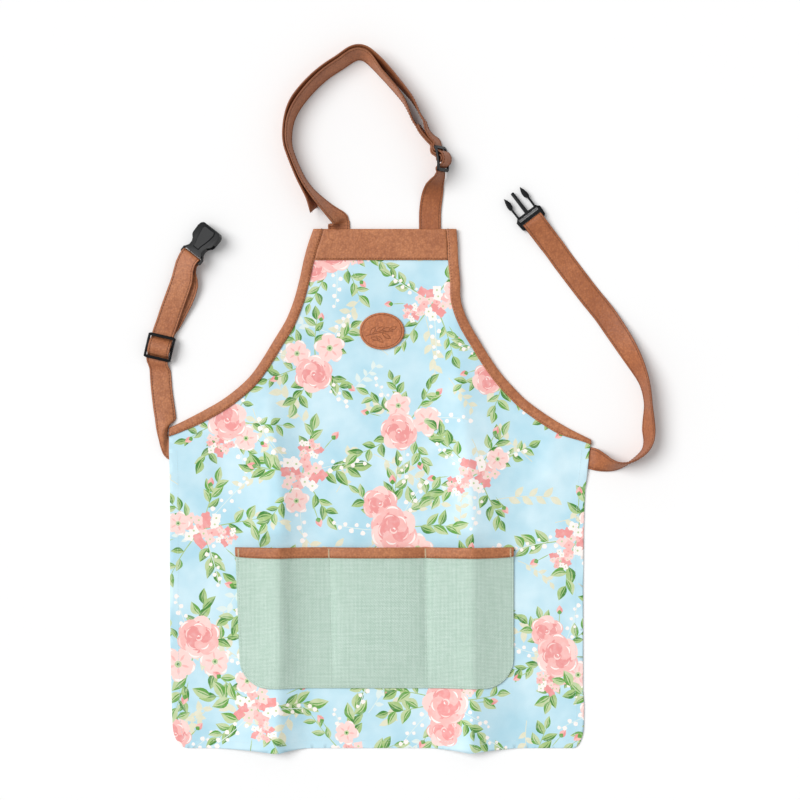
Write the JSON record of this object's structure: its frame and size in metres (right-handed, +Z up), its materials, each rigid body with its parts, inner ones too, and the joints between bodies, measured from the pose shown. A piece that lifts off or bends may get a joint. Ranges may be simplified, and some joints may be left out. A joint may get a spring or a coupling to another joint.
{
  "type": "gardening apron",
  "caption": "Bib apron lying face up, with leather-bound armholes, a divided pocket, an oval patch, an adjustable neck loop and waist straps with a side-release buckle.",
  "frame": {"origin": "on the table under the panel, on its centre line, level with the waist corners, where the cloth rests flat", "axes": "+X to the right of the front, +Y towards the neck loop, +Z up from the table out of the apron's front"},
  "size_m": [0.5802, 0.803, 0.0315],
  "materials": {
    "printed_cotton": "matte",
    "leather": "satin",
    "jute": "matte",
    "buckle_plastic": "satin"
  },
  "bodies": {
    "root": {"apron_panel": "printed_cotton", "top_band": "leather", "left_binding": "leather", "right_binding": "leather", "pocket": "jute", "pocket_binding": "leather", "label_patch": "leather", "neck_strap_left": "leather", "neck_strap_right": "leather", "neck_slider": "buckle_plastic", "waist_strap_left": "leather", "waist_slider": "buckle_plastic", "buckle_socket": "buckle_plastic", "waist_strap_right": "leather", "buckle_plug": "buckle_plastic"}
  },
  "joints": []
}
